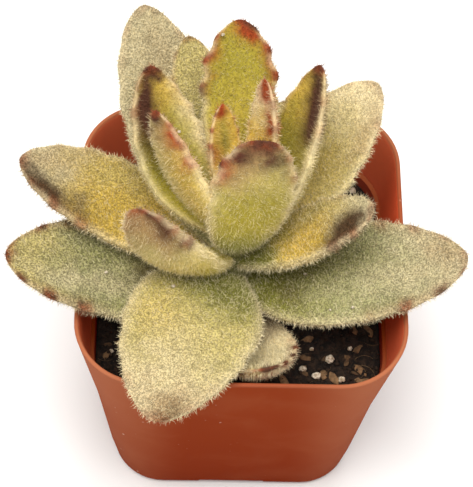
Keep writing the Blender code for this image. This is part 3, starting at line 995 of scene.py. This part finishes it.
def store(tree, geometry, name, value, domain="INSTANCE"):
    return add_node(tree, "GeometryNodeStoreNamedAttribute", data_type="FLOAT", domain=domain,
                    Geometry=geometry, Name=name, Value=value).outputs[0]


def named(tree, name, kind="FLOAT"):
    return add_node(tree, "GeometryNodeInputNamedAttribute", data_type=kind, Name=name).outputs[0]


def one_spike(tree, given):
    """A thin closed spike that knows how high each of its points is, from 0 to 1."""
    radius = maths(tree, "MULTIPLY", given["Hair Width"], 0.5)
    spike = add_node(tree, "GeometryNodeMeshCone", fill_type="NGON", Vertices=3, Radius_Top=0.0,
                     Radius_Bottom=radius, Depth=given["Hair Length"])
    place = add_node(tree, "GeometryNodeInputPosition").outputs[0]
    height = add_node(tree, "ShaderNodeSeparateXYZ", Vector=place).outputs["Z"]
    share = maths(tree, "DIVIDE", height, given["Hair Length"], True)
    return store(tree, spike.outputs["Mesh"], "hair_height", share, "POINT")


def finish_tree(tree, end, geometry, **values):
    """Makes all instances real, sets their finish and ends the tree."""
    real = add_node(tree, "GeometryNodeRealizeInstances", Geometry=geometry)
    done = add_node(tree, "GeometryNodeSetMaterial", Geometry=real.outputs[0], **values)
    tree.links.new(done.outputs[0], end.inputs[0])


def felt_tree():
    tree, start, end = new_group(
        "grow_felt", "GeometryNodeTree",
        [("Geometry", "Geometry", None), ("Hairs per Square Metre", "Float", 1e7),
         ("Hair Length", "Float", 0.9 * MM), ("Hair Width", "Float", 0.09 * MM),
         ("Lean", "Float", 0.4), ("Ruffle", "Float", 0.6), ("Seed", "Int", 1),
         ("Hair Finish", "Material", None)],
        [("Geometry", "Geometry")],
    )
    given = start.outputs
    seed = given["Seed"]
    points = spread_points(tree, given, "Hairs per Square Metre")
    leaning = vectors(tree, "SCALE", named(tree, "growth", "FLOAT_VECTOR"), by=given["Lean"])[0]
    chance = random_value(tree, seed, (-1, -1, -1), (1, 1, 1), "FLOAT_VECTOR")
    ruffled = vectors(tree, "SCALE", chance, by=given["Ruffle"])[0]
    way = vectors(tree, "ADD", vectors(tree, "ADD", points["Normal"], leaning)[0], ruffled)[0]
    turned = add_node(tree, "FunctionNodeAlignRotationToVector", axis="Z", Vector=way)
    size = add_node(tree, "ShaderNodeCombineXYZ", X=1.0, Y=1.0, Z=random_value(tree, seed, 0.45, 1.25))
    hairs = add_node(tree, "GeometryNodeInstanceOnPoints", Points=points["Points"],
                     Instance=one_spike(tree, given), Rotation=turned.outputs[0], Scale=size.outputs[0])
    marked = store(tree, hairs.outputs[0], "is_hair", 1.0)
    shade = random_value(tree, maths(tree, "ADD", seed, 7.0), 0.0, 1.0)
    marked = store(tree, marked, "shade", shade)
    both = add_node(tree, "GeometryNodeJoinGeometry")
    tree.links.new(given["Geometry"], both.inputs[0])
    tree.links.new(marked, both.inputs[0])
    chosen = add_node(tree, "FunctionNodeCompare", data_type="FLOAT", operation="GREATER_THAN",
                      A=named(tree, "is_hair"), B=0.5)
    finish_tree(tree, end, both.outputs[0], Selection=chosen.outputs[0], Material=given["Hair Finish"])
    return tree


def grow(piece, tree, **values):
    """Runs a Geometry Nodes tree on a piece with named values and keeps the result as its mesh."""
    modifier = piece.modifiers.new(tree.name, "NODES")
    modifier.node_group = tree
    keys = {item.name: item.identifier for item in tree.interface.items_tree if item.in_out == "INPUT"}
    for label, value in values.items():
        modifier[keys[label.replace("_", " ")]] = value
    apply_modifiers(piece)


grow_felt = felt_tree()
HAIRS_PER_SQUARE_METRE = 9.8e6
hair_faces = 0
for number, (leaf_name, (piece, notes)) in enumerate(skins.items(), 1):
    piece.data.materials.append(leaf_skin)
    before = len(piece.data.polygons)
    grow(piece, grow_felt, Hairs_per_Square_Metre=HAIRS_PER_SQUARE_METRE, Hair_Length=0.95 * MM,
         Hair_Width=0.09 * MM, Lean=0.35, Ruffle=0.85, Seed=number, Hair_Finish=leaf_hair)
    hair_faces += len(piece.data.polygons) - before
print("hair faces:", hair_faces)

# %% [markdown]
# ## Pot plastic
#
# Thin polypropylene, a little glossy. Light gets through it, so the inside glows redder
# and the rim is paler; both are painted light in its colour, as are a painted sheen on
# the corners and painted shade low inside and towards the foot. It is handled a lot:
# smudges change the gloss, and dust and water leave faint pale marks.

# %% Pot material


def marks_group():
    """Smudges, dust and specks for smooth plastic."""
    tree, start, end = new_group(
        "smudges", "ShaderNodeTree",
        [("Smudge Scale", "Float", 90.0), ("Amount", "Float", 0.5)],
        [("Smudge", "Float"), ("Specks", "Float"), ("Height", "Float")],
    )
    broad = add_node(tree, "ShaderNodeTexNoise", Vector=own_place(tree), Scale=start.outputs["Smudge Scale"],
                     Detail=4.0,
                     Distortion=0.6).outputs[0]
    smudge = maths(tree, "MULTIPLY", ramp(tree, broad, 0.4, 0.75), start.outputs["Amount"])
    specks = ramp(tree, grain(tree, 900, 1.0), 0.74, 0.8)
    specks = maths(tree, "MULTIPLY", specks, ramp(tree, grain(tree, 130, 1.0), 0.5, 0.65))
    return end_group(tree, end, smudge, specks, broad)


def pot_material():
    made, tree, shader = new_material("terracotta_plastic", Specular_IOR_Level=0.0, Coat_Weight=0.06,
                                      Coat_IOR=1.4, Coat_Roughness=0.14)
    place = own_place(tree)
    axes = add_node(tree, "ShaderNodeSeparateXYZ", Vector=place).outputs
    marks = use_group(tree, smudges, Smudge_Scale=90.0, Amount=0.6)
    normal = add_node(tree, "ShaderNodeNewGeometry").outputs["Normal"]
    facing = vectors(tree, "DOT_PRODUCT", normal, place)["Value"]
    inside = ramp(tree, facing, 0.0, -0.004)
    height = axes["Z"]
    # Painted shade: the outside is drawn darker towards the foot and lighter towards the rim.
    outer = blend_colour(tree, ramp(tree, height, 0.0, 0.05), (0.22, 0.024, 0.002), (0.27, 0.036, 0.004))
    # Painted light: above the ledge the inside is drawn bright orange-red, the glow of light through the thin
    # wall; below it, painted shade draws it dark red.
    inner = blend_colour(tree, ramp(tree, height, 0.040, 0.0415), (0.36, 0.020, 0.010), (0.85, 0.12, 0.045))
    body = blend_colour(tree, inside, outer, inner)
    # Painted highlight: the lip is drawn paler pink where the thin rim catches the light.
    rim_highlight = ramp(tree, height, POT_HEIGHT - 0.9 * MM, POT_HEIGHT - 0.1 * MM)
    body = blend_colour(tree, maths(tree, "MULTIPLY", rim_highlight, 0.7), body, (0.30, 0.085, 0.04))
    # Painted reflection: the four rounded corners are drawn paler, a sheen of the bright surroundings.
    corner = maths(tree, "ABSOLUTE", maths(tree, "MULTIPLY", axes["X"], axes["Y"]))
    body = blend_colour(tree, ramp(tree, corner, 2.0e-4, 7.0e-4, 0.0, 0.35), body, (0.62, 0.26, 0.13))
    smudge, specks = marks.outputs["Smudge"], marks.outputs["Specks"]
    body = blend_colour(tree, maths(tree, "MULTIPLY", smudge, 0.14), body, (0.50, 0.18, 0.08))
    body = blend_colour(tree, maths(tree, "MULTIPLY", specks, 0.5), body, paint(236, 214, 190))
    rough = maths(tree, "MULTIPLY_ADD", smudge, 0.3)
    rough.node.inputs[2].default_value = 0.3
    tree.links.new(rough, shader.inputs["Roughness"])
    dress(tree, shader, body, marks.outputs["Height"], 0.15, 0.3 * MM)
    return made


smudges = marks_group()
pot.data.materials.clear()
pot.data.materials.append(pot_material())
print("pot finish:", pot.data.materials[0].name)

# %% [markdown]
# ## Potting mix and stem
#
# The soil body is dark peat; its colour changes from grain to grain. The stem is green
# under a thin grey felt, so it takes the leaves' shader group.

# %% Soil and stem materials


def peat_material():
    made, tree, shader = new_material("peat", Roughness=0.95, Specular_IOR_Level=0.3)
    coarse = grain(tree, 700, 4.0, 0.6)
    fine = grain(tree, 2600, 2.0)
    colour = blend_colour(tree, ramp(tree, coarse, 0.35, 0.7), (0.006, 0.004, 0.003), (0.030, 0.017, 0.010))
    colour = blend_colour(tree, ramp(tree, fine, 0.62, 0.75, 0.0, 0.6), colour, (0.07, 0.042, 0.022))
    dress(tree, shader, colour, maths(tree, "ADD", coarse, maths(tree, "MULTIPLY", fine, 0.4)), 0.9, 0.6 * MM)
    return made


peat = peat_material()
soil.data.materials.clear()
soil.data.materials.append(peat)

for name, kind in FELT_NOTES.items():
    attribute = stem.data.attributes.new(name, kind, "POINT")
    for point in attribute.data:
        if name == "flesh":
            point.color = (*PALETTE["sage"].lerp(PALETTE["moss"], 0.5), 1)
        elif name == "growth":
            point.vector = (0, 0, 1)
        else:
            point.value = 0.5
stem.data.materials.append(leaf_skin)
grow(stem, grow_felt, Hairs_per_Square_Metre=5e6, Hair_Length=0.6 * MM, Hair_Width=0.045 * MM, Lean=0.2,
     Ruffle=0.6, Seed=41, Hair_Finish=leaf_hair)

# %% [markdown]
# ## What lies on the soil
#
# A potting mix is crumbs of peat, thin roots and fibres, chips of bark, and white perlite.
# There are thousands of crumbs, so one tree scatters a low-poly lump over the soil's top,
# turned and stretched at random; other values of the same tree make the bark. Fibres are
# short arcs with a three-sided section. A few perlite lumps lie where the picture shows.

# %% The tree that scatters lumps


def random_turn(tree, seed, tilt):
    """A free turn about Z and a tilt about the other two axes, in radians."""
    most = add_node(tree, "ShaderNodeCombineXYZ", X=tilt, Y=tilt, Z=math.tau).outputs[0]
    least = vectors(tree, "SCALE", most, by=-1.0)[0]
    return random_value(tree, seed, least, most, "FLOAT_VECTOR")


SCATTER_INPUTS = [
    ("Geometry", "Geometry", None), ("Pieces per Square Metre", "Float", 1e6),
    ("Smallest", "Float", 0.3 * MM), ("Largest", "Float", 1.0 * MM),
    ("Stretch", "Vector", (1.0, 0.8, 0.6)), ("Tilt", "Float", 1.5),
    ("Seed", "Int", 1), ("Finish", "Material", None),
]


def one_lump(tree):
    """A dented ball, 1 across."""
    ball = add_node(tree, "GeometryNodeMeshIcoSphere", Radius=0.5, Subdivisions=2)
    place = add_node(tree, "GeometryNodeInputPosition").outputs[0]
    rough = add_node(tree, "ShaderNodeTexNoise", Vector=place, Scale=2.3, Detail=1.0).outputs[0]
    dented = maths(tree, "MULTIPLY", maths(tree, "SUBTRACT", rough, 0.5), 1.1)
    push = vectors(tree, "SCALE", place, by=dented)[0]
    return add_node(tree, "GeometryNodeSetPosition", Geometry=ball.outputs[0], Offset=push).outputs[0]


def one_fibre(tree):
    """A thin arc with a three-sided section and closed ends."""
    arc = add_node(tree, "GeometryNodeCurveArc", Resolution=7, Radius=1.0, Sweep_Angle=1.5)
    section = add_node(tree, "GeometryNodeCurvePrimitiveCircle", Resolution=3, Radius=0.016)
    return add_node(tree, "GeometryNodeCurveToMesh", Curve=arc.outputs[0], Profile_Curve=section.outputs[0],
                    Fill_Caps=True).outputs[0]


def scatter_tree(name, one_piece):
    """A tree that scatters one kind of piece over a surface, each with a size, turn and shade of its own."""
    tree, start, end = new_group(name, "GeometryNodeTree", SCATTER_INPUTS, [("Geometry", "Geometry")])
    given = start.outputs
    seed = given["Seed"]
    points = spread_points(tree, given, "Pieces per Square Metre")
    size = random_value(tree, seed, given["Smallest"], given["Largest"])
    placed = add_node(tree, "GeometryNodeInstanceOnPoints", Points=points["Points"], Instance=one_piece(tree),
                      Rotation=random_turn(tree, seed, given["Tilt"]),
                      Scale=vectors(tree, "SCALE", given["Stretch"], by=size)[0])
    shaded = store(tree, placed.outputs[0], "shade", random_value(tree, seed, 0.0, 1.0))
    finish_tree(tree, end, shaded, Material=given["Finish"])
    return tree


scatter_lumps = scatter_tree("scatter_lumps", one_lump)
scatter_fibres = scatter_tree("scatter_fibres", one_fibre)
print("scatter trees:", scatter_lumps.name, scatter_fibres.name)

# %% Crumbs, bark and fibres


def mix_material(name, dark, light, fine_scale):
    """Grains of one stuff: each has its own shade between two colours, and a fine grain."""
    made, tree, shader = new_material(name, Roughness=0.9, Specular_IOR_Level=0.3)
    colour = blend_colour(tree, stored(tree, "shade"), dark, light)
    fine = grain(tree, fine_scale, 3.0)
    colour = blend_colour(tree, ramp(tree, fine, 0.35, 0.65, 0.0, 0.45), colour, [c * 0.45 for c in dark])
    dress(tree, shader, colour, fine, 0.6, 0.2 * MM)
    return made


TOP_SIDES = 96
TOP_STEPS = 12


def soil_top(share_from, share_to):
    """The upper surface of the soil between two shares of the way from wall to stem, to scatter on."""
    edge = square_ring(*pot_inside(SOIL_LEVEL), SOIL_LEVEL, TOP_SIDES)
    hole = circle(STEM_X, STEM_Y, SOIL_LEVEL, STEM_RADIUS + 0.6 * MM, TOP_SIDES)
    rows = []
    for k in range(TOP_STEPS + 1):
        share = share_from + (share_to - share_from) * k / TOP_STEPS
        row = [p.lerp(q, share) for p, q in zip(edge, hole)]
        for at in row:
            at.z += crumb(at.x, at.y) + 0.05 * MM
        rows.append(row)
    bm = bmesh.new()
    join_rings(bm, rows)
    return mesh_from(bm, "soil_top")


def scatter(name, tree, shares, **values):
    piece = add_object(name, soil_top(*shares))
    grow(piece, tree, **values)
    return piece


crumb_finish = mix_material("peat_crumb", (0.006, 0.004, 0.003), (0.034, 0.019, 0.010), 2200)
bark_finish = mix_material("bark_chip", (0.020, 0.010, 0.005), (0.26, 0.15, 0.07), 1800)
fibre_finish = mix_material("root_fibre", (0.04, 0.022, 0.010), (0.28, 0.18, 0.09), 2500)
litter = [
    scatter("peat_crumbs", scatter_lumps, (0.015, 0.97), Pieces_per_Square_Metre=7.4e5, Smallest=0.25 * MM,
            Largest=1.1 * MM, Stretch=(1.0, 0.8, 0.65), Tilt=1.5, Seed=51, Finish=crumb_finish),
    scatter("bark_chips", scatter_lumps, (0.05, 0.9), Pieces_per_Square_Metre=5.5e4, Smallest=0.7 * MM,
            Largest=2.2 * MM, Stretch=(1.5, 0.7, 0.28), Tilt=0.5, Seed=52, Finish=bark_finish),
    scatter("root_fibres", scatter_fibres, (0.06, 0.9), Pieces_per_Square_Metre=1.0e5, Smallest=0.7 * MM,
            Largest=2.8 * MM, Stretch=(1.0, 1.0, 0.7), Tilt=0.35, Seed=53, Finish=fibre_finish),
]
for piece in litter:
    piece.data.shade_smooth()
    print(piece.name, len(piece.data.polygons))

# %% Perlite on the soil and on the leaves
# Places are millimetres on the soil, then leaves with shares along and across; the last number is the size.
CRUMB_LIFT = 0.45
PERLITE_ON_SOIL = [
    (21.5, 20.5, 1.3), (22.0, 16.0, 1.5), (16.2, -15.2, 1.6), (11.4, -17.2, 1.4), (13.8, -18.6, 1.7),
    (18.2, -19.5, 1.2), (19.9, -12.8, 0.9), (13.0, -13.6, 0.8), (-22.5, -14.5, 0.9), (-20.0, 20.0, 1.2),
    (4.0, 24.5, 1.4), (21.0, 9.0, 1.0), (-21.0, 6.0, 1.1),
]
CRUMBS_ON_LEAVES = [
    ("leaf_02_front", 0.43, -0.5, 0.8), ("leaf_03_left_low", 0.62, 0.17, 0.6),
    ("leaf_04_right_low", 0.38, 0.0, 0.6), ("leaf_04_right_low", 0.50, -0.75, 0.4),
    ("leaf_04_right_low", 0.58, -0.75, 0.5),
    ("leaf_17_centre_left", 0.88, 0.85, 0.55), ("leaf_13_back_tall", 0.94, 0.77, 0.6),
]


def lump(bm, place, size, seed):
    """One irregular lump of perlite, closed, about size millimetres across."""
    chance = random.Random(seed)
    made = bmesh.ops.create_icosphere(bm, subdivisions=3, radius=size * MM / 2)
    shift = Vector((seed * 3.1, seed * 1.7, 0.0))
    stretch = Vector((1.0, chance.uniform(0.7, 1.0), chance.uniform(0.6, 0.9)))
    for vert in made["verts"]:
        way = vert.co.normalized()
        vert.co *= 1 + 0.34 * noise.noise(way * 1.6 + shift) + 0.10 * noise.noise(way * 4.5 + shift)
        vert.co = Vector((vert.co.x * stretch.x, vert.co.y * stretch.y, vert.co.z * stretch.z)) + place


def on_leaf(leaf_name, s, x):
    """The point on a leaf's upper face at shares along and across it."""
    leaf = LEAVES[leaf_name]
    place, _, side, up = leaf_frame(leaf, s)
    half = half_width(leaf, s, 1 if x > 0 else -1)
    belly = leaf.thick * 0.36 * math.sqrt(1 - x * x)
    trough = leaf.cup * leaf.width * (half * x / (leaf.width / 2)) ** 2
    return (place + side * x * half + up * (belly + trough + CRUMB_LIFT)) * MM


def make_perlite():
    bm = bmesh.new()
    for seed, (x, y, size) in enumerate(PERLITE_ON_SOIL):
        x, y = x * MM, y * MM
        lump(bm, Vector((x, y, SOIL_LEVEL + crumb(x, y) + 0.3 * size * MM)), size, seed)
    for seed, (leaf_name, s, x, size) in enumerate(CRUMBS_ON_LEAVES, 100):
        lump(bm, on_leaf(leaf_name, s, x), size, seed)
    mesh = mesh_from(bm, "perlite")
    mesh.shade_smooth()
    return mesh


def perlite_material():
    made, tree, shader = new_material("perlite", Roughness=0.85)
    pores = grain(tree, 1700, 3.0)
    colour = blend_colour(tree, ramp(tree, pores, 0.35, 0.6), (0.30, 0.23, 0.14), (0.64, 0.56, 0.43))
    dress(tree, shader, colour, pores, 0.7, 0.2 * MM)
    return made


litter.append(add_object("perlite_lumps", make_perlite(), perlite_material()))

# %% Attach the pieces
for piece in litter:
    finish_piece(piece, None)
finish_piece(pot, "pot")
finish_piece(soil, "soil")
finish_piece(stem, "stem")
for leaf_name, (piece, notes) in skins.items():
    finish_piece(piece, leaf_name)
